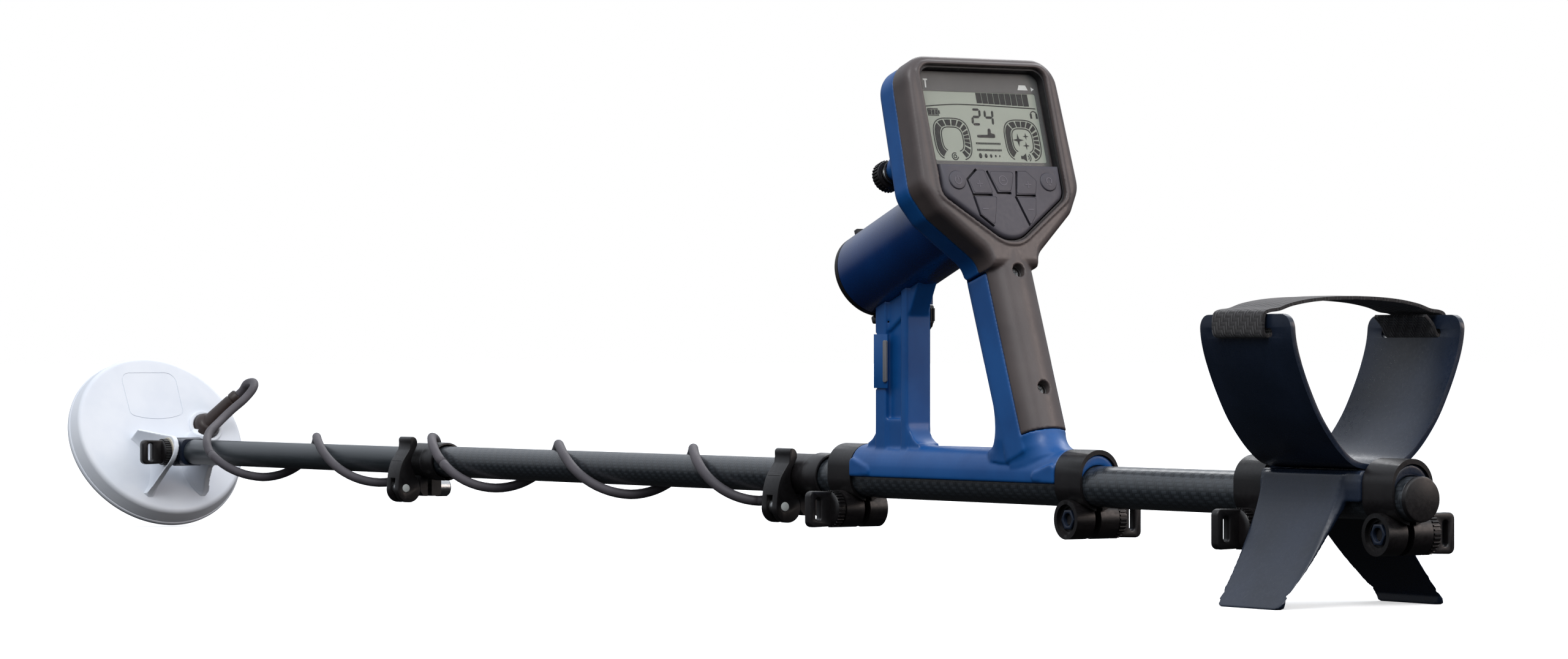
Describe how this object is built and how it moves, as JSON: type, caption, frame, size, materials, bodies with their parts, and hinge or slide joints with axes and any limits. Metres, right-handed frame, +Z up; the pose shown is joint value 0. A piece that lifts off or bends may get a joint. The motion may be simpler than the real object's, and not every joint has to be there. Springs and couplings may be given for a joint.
{
  "type": "metal detector",
  "caption": "Hand-held metal detector: round search coil on a telescopic shaft with cam locks, upright grip with display and keypad, battery tube, arm cuff with strap and stand legs.",
  "frame": {"origin": "on the ground under the middle of the object's overall box", "axes": "+X runs along the shaft towards the arm cuff, +Z is up and +Y is the side away from the lock levers"},
  "size_m": [1.4534, 0.134, 0.2879],
  "materials": {
    "coil_white": "satin white plastic",
    "blue_plastic": "satin blue plastic",
    "grey_plastic": "satin warm grey plastic",
    "soft_keys": "matt warm grey silicone",
    "black_plastic": "satin black plastic",
    "cuff_plastic": "satin blue black plastic",
    "carbon": "woven carbon composite under clear resin",
    "dark_tube": "plain dark composite",
    "steel": "plain steel",
    "copper": "enamelled copper wire, wound",
    "glass": "clear window",
    "display": "grey green liquid crystal",
    "board": "green solder resist",
    "webbing": "coarse woven webbing",
    "lead_rubber": "matt grey sheath"
  },
  "bodies": {
    "shaft": {"upper_tube": "carbon", "end_cap": "black_plastic", "collar_2": "black_plastic", "lock_bolt_2": "steel", "handle_frame": "blue_plastic", "front_cover": "grey_plastic", "grip_screw_upper": "steel", "grip_screw_lower": "steel", "pod_housing": "blue_plastic", "display_window": "glass", "lcd_panel": "display", "circuit_board": "board", "speaker": "black_plastic", "keypad": "soft_keys", "battery_housing": "blue_plastic", "battery_pack": "black_plastic", "coil_plug": "black_plastic", "handle_front_clamp": "black_plastic", "handle_rear_clamp": "black_plastic", "coil_lead_middle": "lead_rubber", "coil_lead_pod": "lead_rubber"},
    "middle": {"middle_tube": "carbon", "collar_1": "black_plastic", "lock_bolt_1": "steel", "coil_lead_lower": "lead_rubber", "coil_lead_lock": "lead_rubber"},
    "lower": {"lower_tube": "dark_tube", "yoke_insert": "black_plastic", "coil_lead_loop": "lead_rubber"},
    "coil": {"coil_cover": "coil_white", "coil_base": "coil_white", "coil_winding": "copper", "coil_gland": "black_plastic", "yoke_bolt": "steel"},
    "yoke_knob": {"yoke_knob": "black_plastic"},
    "lever_1": {"lever_1": "black_plastic", "lever_pin_1": "steel"},
    "lever_2": {"lever_2": "black_plastic", "lever_pin_2": "steel"},
    "handle_front_knob": {"handle_front_knob": "black_plastic"},
    "handle_rear_knob": {"handle_rear_knob": "black_plastic"},
    "cuff": {"arm_cuff": "cuff_plastic", "cuff_strap": "webbing", "cuff_stand": "cuff_plastic", "cuff_front_clamp": "black_plastic", "cuff_rear_clamp": "black_plastic"},
    "cuff_front_knob": {"cuff_front_knob": "black_plastic"},
    "cuff_rear_knob": {"cuff_rear_knob": "black_plastic"},
    "battery_cap": {"battery_cap": "black_plastic"},
    "battery_latch": {"battery_latch": "black_plastic"},
    "port_door": {"port_door": "blue_plastic"},
    "socket_cap": {"socket_cap": "black_plastic"},
    "key_power": {"key_power": "soft_keys"},
    "key_light": {"key_light": "soft_keys"},
    "key_mode": {"key_mode": "soft_keys"},
    "key_left_plus": {"key_left_plus": "soft_keys"},
    "key_left_minus": {"key_left_minus": "soft_keys"},
    "key_right_plus": {"key_right_plus": "soft_keys"},
    "key_right_minus": {"key_right_minus": "soft_keys"}
  },
  "joints": [
    {"name": "middle_slide", "type": "slide", "parent": "shaft", "child": "middle", "axis": [1, 0, 0], "range_m": [0, 0.3], "deforming": ["coil_lead_middle"]},
    {"name": "lower_slide", "type": "slide", "parent": "middle", "child": "lower", "axis": [1, 0, 0], "range_m": [0, 0.2], "deforming": ["coil_lead_lower"]},
    {"name": "coil_tilt", "type": "hinge", "parent": "lower", "child": "coil", "pos_m": [-0.6393, 0, 0.0545], "axis": [0, 1, 0], "range_deg": [-75, 32], "deforming": ["coil_lead_loop"]},
    {"name": "yoke_knob_turn", "type": "hinge", "parent": "coil", "child": "yoke_knob", "pos_m": [-0.6393, 0, 0.0545], "axis": [0, 1, 0], "continuous": true},
    {"name": "lever_open_1", "type": "hinge", "parent": "middle", "child": "lever_1", "pos_m": [-0.2923, -0.0177, 0.0369], "axis": [1, 0, 0], "range_deg": [0, 100]},
    {"name": "lever_open_2", "type": "hinge", "parent": "shaft", "child": "lever_2", "pos_m": [0.1657, -0.0177, 0.0369], "axis": [1, 0, 0], "range_deg": [0, 100]},
    {"name": "handle_front_knob_turn", "type": "hinge", "parent": "shaft", "child": "handle_front_knob", "pos_m": [0.2307, 0, 0.037], "axis": [0, 1, 0], "continuous": true},
    {"name": "handle_rear_knob_turn", "type": "hinge", "parent": "shaft", "child": "handle_rear_knob", "pos_m": [0.4512, 0, 0.037], "axis": [0, 1, 0], "continuous": true},
    {"name": "cuff_front_knob_turn", "type": "hinge", "parent": "cuff", "child": "cuff_front_knob", "pos_m": [0.6057, 0, 0.037], "axis": [0, 1, 0], "continuous": true},
    {"name": "cuff_rear_knob_turn", "type": "hinge", "parent": "cuff", "child": "cuff_rear_knob", "pos_m": [0.7077, 0, 0.037], "axis": [0, 1, 0], "continuous": true},
    {"name": "cuff_slide", "type": "slide", "parent": "shaft", "child": "cuff", "axis": [1, 0, 0], "range_m": [-0.09, 0.004]},
    {"name": "key_power_press", "type": "slide", "parent": "shaft", "child": "key_power", "axis": [-0.9542, 0, -0.299], "range_m": [0, 0.0006], "stiffness_N_per_m": 1500},
    {"name": "key_light_press", "type": "slide", "parent": "shaft", "child": "key_light", "axis": [-0.9542, 0, -0.299], "range_m": [0, 0.0006], "stiffness_N_per_m": 1500},
    {"name": "key_mode_press", "type": "slide", "parent": "shaft", "child": "key_mode", "axis": [-0.9542, 0, -0.299], "range_m": [0, 0.0006], "stiffness_N_per_m": 1500},
    {"name": "key_left_plus_press", "type": "slide", "parent": "shaft", "child": "key_left_plus", "axis": [-0.9542, 0, -0.299], "range_m": [0, 0.0006], "stiffness_N_per_m": 1500},
    {"name": "key_left_minus_press", "type": "slide", "parent": "shaft", "child": "key_left_minus", "axis": [-0.9542, 0, -0.299], "range_m": [0, 0.0006], "stiffness_N_per_m": 1500},
    {"name": "key_right_plus_press", "type": "slide", "parent": "shaft", "child": "key_right_plus", "axis": [-0.9542, 0, -0.299], "range_m": [0, 0.0006], "stiffness_N_per_m": 1500},
    {"name": "key_right_minus_press", "type": "slide", "parent": "shaft", "child": "key_right_minus", "axis": [-0.9542, 0, -0.299], "range_m": [0, 0.0006], "stiffness_N_per_m": 1500},
    {"name": "battery_cap_open", "type": "hinge", "parent": "shaft", "child": "battery_cap", "pos_m": [0.23833, 0, 0.19495], "axis": [0, 1, 0], "range_deg": [0, 100]},
    {"name": "battery_latch_open", "type": "hinge", "parent": "battery_cap", "child": "battery_latch", "pos_m": [0.25595, 0, 0.14443], "axis": [0, 1, 0], "range_deg": [0, 35]},
    {"name": "port_door_open", "type": "hinge", "parent": "shaft", "child": "port_door", "pos_m": [0.2622, 0.0076, 0.0665], "axis": [0, 0, -1], "range_deg": [0, 90]},
    {"name": "socket_cap_turn", "type": "hinge", "parent": "shaft", "child": "socket_cap", "pos_m": [0.31484, -0.036, 0.2231], "axis": [0.9542, 0, 0.299], "continuous": true}
  ]
}
